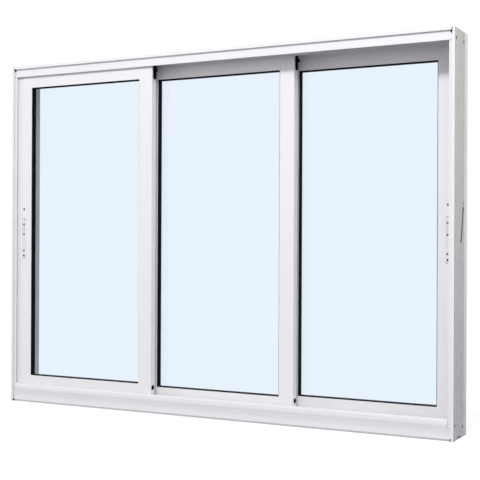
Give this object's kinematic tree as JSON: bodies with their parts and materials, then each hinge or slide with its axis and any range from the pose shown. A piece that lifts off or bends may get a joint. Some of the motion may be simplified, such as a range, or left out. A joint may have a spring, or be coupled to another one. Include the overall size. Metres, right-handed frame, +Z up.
{
  "type": "sliding window",
  "caption": "Sliding window: white aluminium frame with tracks and glazed sashes that pass one behind another, black gaskets, flush latches.",
  "frame": {"origin": "underside of the sill, at the middle of its width and depth", "axes": "+Z up, +X along the tracks to the right as seen from the room, +Y through the window to the outside"},
  "size_m": [1.625, 0.136, 1.2],
  "materials": {
    "white_aluminium": "white powder coat, satin",
    "float_glass": "clear float glass with a pale blue cast",
    "black_rubber": "matt black extruded rubber",
    "latch_plastic": "white moulded plastic",
    "roller_nylon": "natural nylon",
    "carriage_steel": "zinc-plated steel"
  },
  "bodies": {
    "frame": {"left_jamb": "white_aluminium", "right_jamb": "white_aluminium", "head": "white_aluminium", "sill": "white_aluminium"},
    "left_sash": {"left_sash_left_stile": "white_aluminium", "left_sash_right_stile": "white_aluminium", "left_sash_top_rail": "white_aluminium", "left_sash_bottom_rail": "white_aluminium", "left_glass": "float_glass", "left_gasket": "black_rubber", "left_sash_wheels": "roller_nylon", "left_sash_carriages": "carriage_steel", "left_latch": "latch_plastic", "left_sash_plug": "black_rubber", "left_sash_buffer": "black_rubber"},
    "middle_sash": {"middle_sash_left_stile": "white_aluminium", "middle_sash_right_stile": "white_aluminium", "middle_sash_top_rail": "white_aluminium", "middle_sash_bottom_rail": "white_aluminium", "middle_glass": "float_glass", "middle_gasket": "black_rubber", "middle_sash_wheels": "roller_nylon", "middle_sash_carriages": "carriage_steel", "middle_sash_plug": "black_rubber", "middle_sash_buffer": "black_rubber"},
    "right_sash": {"right_sash_left_stile": "white_aluminium", "right_sash_right_stile": "white_aluminium", "right_sash_top_rail": "white_aluminium", "right_sash_bottom_rail": "white_aluminium", "right_glass": "float_glass", "right_gasket": "black_rubber", "right_sash_wheels": "roller_nylon", "right_sash_carriages": "carriage_steel", "right_latch": "latch_plastic"}
  },
  "joints": [
    {"name": "left_sash_slide", "type": "slide", "parent": "frame", "child": "left_sash", "axis": [1, 0, 0], "range_m": [0, 1.011]},
    {"name": "middle_sash_slide", "type": "slide", "parent": "frame", "child": "middle_sash", "axis": [1, 0, 0], "range_m": [-0.5055, 0.5055]},
    {"name": "right_sash_slide", "type": "slide", "parent": "frame", "child": "right_sash", "axis": [1, 0, 0], "range_m": [-1.011, 0]}
  ]
}
